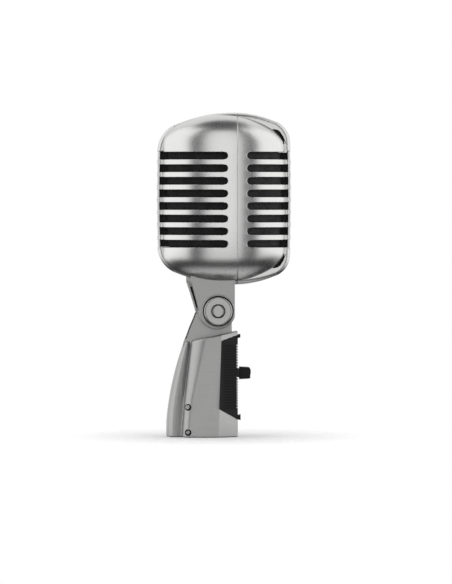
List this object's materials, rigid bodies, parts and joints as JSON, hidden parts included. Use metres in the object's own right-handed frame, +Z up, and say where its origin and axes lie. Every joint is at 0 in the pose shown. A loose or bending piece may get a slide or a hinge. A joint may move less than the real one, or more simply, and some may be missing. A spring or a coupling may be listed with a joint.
{
  "type": "stand-mount vocal microphone",
  "caption": "Stand-mount vocal microphone with a slotted two-half metal head on a tilting neck, a tapered swivel base, a slide switch, a stand thread and a cable socket.",
  "frame": {"origin": "centre of the stand-thread socket on the flat underside of the base", "axes": "+Z up, -Y the way the head faces, X across; the head tilts about X"},
  "size_m": [0.0556, 0.0781, 0.1883],
  "materials": {
    "satin_chrome_head": "satin",
    "satin_cast_base": "satin",
    "polished_metal": "satin",
    "steel": "plain",
    "dark_foam": "matt",
    "black_plastic": "matt",
    "insulator": "matt",
    "brass": "plain",
    "rubber": "matt",
    "cartridge_metal": "plain",
    "film": "gloss",
    "magnet": "plain",
    "wire": "gloss",
    "nylon": "matt"
  },
  "bodies": {
    "base": {"base_housing": "satin_cast_base", "pivot_bushing": "brass", "stand_thread_insert": "brass", "connector_insulator": "insulator", "connector_pins": "brass", "connector_screws": "steel", "plug_stop_screws": "steel", "switch_cover": "black_plastic", "switch_body": "steel", "switch_terminals": "brass", "wire_sleeve": "rubber", "base_leads": "wire"},
    "head": {"front_casing": "satin_chrome_head", "rear_casing": "satin_chrome_head", "casing_screws": "steel", "front_foam_liner": "dark_foam", "rear_foam_liner": "dark_foam", "neck_fork": "satin_cast_base", "neck_clamp_plate": "steel", "neck_screws": "steel", "pivot_bolt": "steel", "pivot_nut": "steel", "pivot_rings": "satin_cast_base", "pivot_cap_near": "polished_metal", "pivot_cap_far": "polished_metal", "friction_washers": "nylon", "cartridge_housing": "cartridge_metal", "cartridge_diaphragm": "film", "voice_coil": "brass", "cartridge_magnet": "magnet", "pole_piece": "steel", "top_plate": "steel", "cartridge_screen": "cartridge_metal", "shock_mount_ring": "rubber", "cartridge_bracket": "steel", "bracket_screws": "steel", "transformer": "magnet", "transformer_bracket": "steel", "head_leads": "wire"},
    "slider": {"switch_slider": "insulator", "switch_knob": "black_plastic"}
  },
  "joints": [
    {"name": "head_tilt", "type": "hinge", "parent": "base", "child": "head", "pos_m": [0, -0.0005, 0.073], "axis": [1, 0, 0], "range_deg": [-30, 50]},
    {"name": "switch_slide", "type": "slide", "parent": "base", "child": "slider", "axis": [0, 0, 1], "range_m": [-0.0048, 0]}
  ]
}
